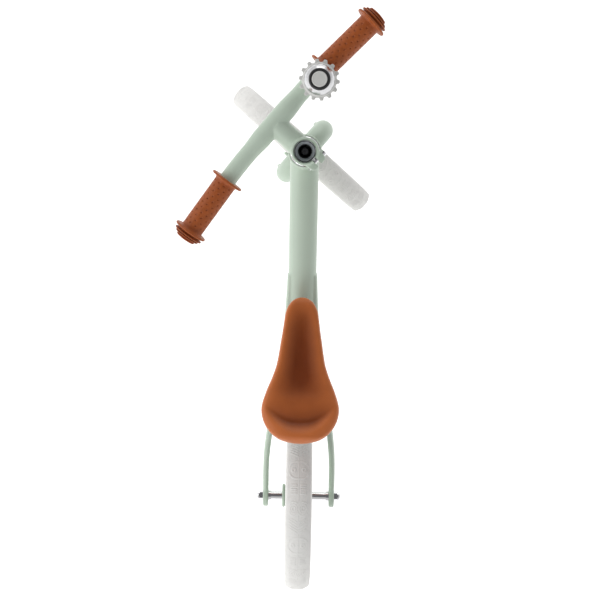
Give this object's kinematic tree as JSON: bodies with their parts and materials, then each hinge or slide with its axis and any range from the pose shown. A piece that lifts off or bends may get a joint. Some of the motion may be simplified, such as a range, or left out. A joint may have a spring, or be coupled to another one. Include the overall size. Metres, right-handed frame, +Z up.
{
  "type": "balance bike",
  "caption": "Children's two-wheeled balance bike without pedals: sloping single-tube frame, turned fork, spoked wheels with foam tyres, padded saddle, bent handlebar and twist bell.",
  "frame": {"origin": "centre of the rear axle, midway between the rear dropouts", "axes": "+X forward, +Y to the rider's left, +Z up; the floor is at z = -0.142 m"},
  "size_m": [0.8196, 0.2744, 0.5953],
  "materials": {
    "sage_paint": "satin powder coat, pale sage green",
    "sage_plastic": "moulded, pale sage green, satin",
    "foam_tyre": "fine-grained off-white foam",
    "grip_rubber": "brown, matte, small round pits",
    "saddle_cover": "smooth soft brown cover",
    "bright_chrome": "polished",
    "plain_steel": "plain",
    "black_plastic": "black, satin",
    "black_steel": "black paint",
    "pale_grey_plastic": "moulded, pale grey"
  },
  "bodies": {
    "frame": {"main_tube": "sage_paint", "head_tube": "sage_paint", "seat_tube": "sage_paint", "left_stay": "sage_paint", "right_stay": "sage_paint", "seat_clamp": "plain_steel", "seat_clamp_bolt": "bright_chrome", "upper_bearing": "plain_steel", "lower_bearing": "plain_steel", "rear_axle": "plain_steel", "rear_spacers": "bright_chrome", "rear_washers": "bright_chrome", "rear_nuts": "bright_chrome"},
    "rear_wheel": {"rear_rim": "sage_plastic", "rear_tyre": "foam_tyre", "rear_hub_cap": "sage_plastic", "rear_bearings": "plain_steel"},
    "fork": {"fork_crown": "sage_paint", "left_fork_leg": "sage_paint", "right_fork_leg": "sage_paint", "steerer": "plain_steel", "crown_race": "plain_steel", "headset_cover": "bright_chrome", "top_plug": "black_plastic", "top_bolt": "plain_steel", "front_axle": "plain_steel", "front_spacers": "bright_chrome", "front_washers": "bright_chrome", "front_nuts": "bright_chrome"},
    "front_wheel": {"front_rim": "sage_plastic", "front_tyre": "foam_tyre", "front_hub_cap": "sage_plastic", "front_bearings": "plain_steel"},
    "handlebar_unit": {"stem": "sage_paint", "stem_bolts": "bright_chrome", "handlebar": "sage_paint", "left_grip": "grip_rubber", "right_grip": "grip_rubber", "bell_clamp": "black_plastic", "bell_clamp_screw": "bright_chrome", "bell_dome": "bright_chrome", "bell_collar": "black_plastic", "bell_cap": "pale_grey_plastic"},
    "bell_twist": {"bell_ring": "pale_grey_plastic", "bell_striker": "plain_steel"},
    "saddle": {"seat_post": "plain_steel", "saddle_plate": "black_steel", "saddle_bolts": "bright_chrome", "saddle_pan": "black_plastic", "saddle_pad": "saddle_cover"}
  },
  "joints": [
    {"name": "rear_wheel_spin", "type": "hinge", "parent": "frame", "child": "rear_wheel", "pos_m": [0, 0, 0], "axis": [0, 1, 0], "continuous": true},
    {"name": "steering", "type": "hinge", "parent": "frame", "child": "fork", "pos_m": [0.566, 0, -0.00443], "axis": [-0.3173, 0, 0.9483], "range_deg": [-139.6, 40.4]},
    {"name": "front_wheel_spin", "type": "hinge", "parent": "fork", "child": "front_wheel", "pos_m": [0.56969, 0.00457, -0.0032], "axis": [-0.7222, 0.6481, -0.2416], "continuous": true},
    {"name": "handlebar_height", "type": "slide", "parent": "fork", "child": "handlebar_unit", "axis": [-0.3173, 0, 0.9483], "range_m": [-0.03, 0.01]},
    {"name": "bell_ring_twist", "type": "hinge", "parent": "handlebar_unit", "child": "bell_twist", "pos_m": [0.5101, -0.01574, 0.43346], "axis": [-0.3173, 0, 0.9483], "range_deg": [-30, 30], "stiffness_Nm_per_rad": 0.08},
    {"name": "saddle_height", "type": "slide", "parent": "frame", "child": "saddle", "axis": [-0.309, 0, 0.9511], "range_m": [-0.008, 0.04]}
  ]
}
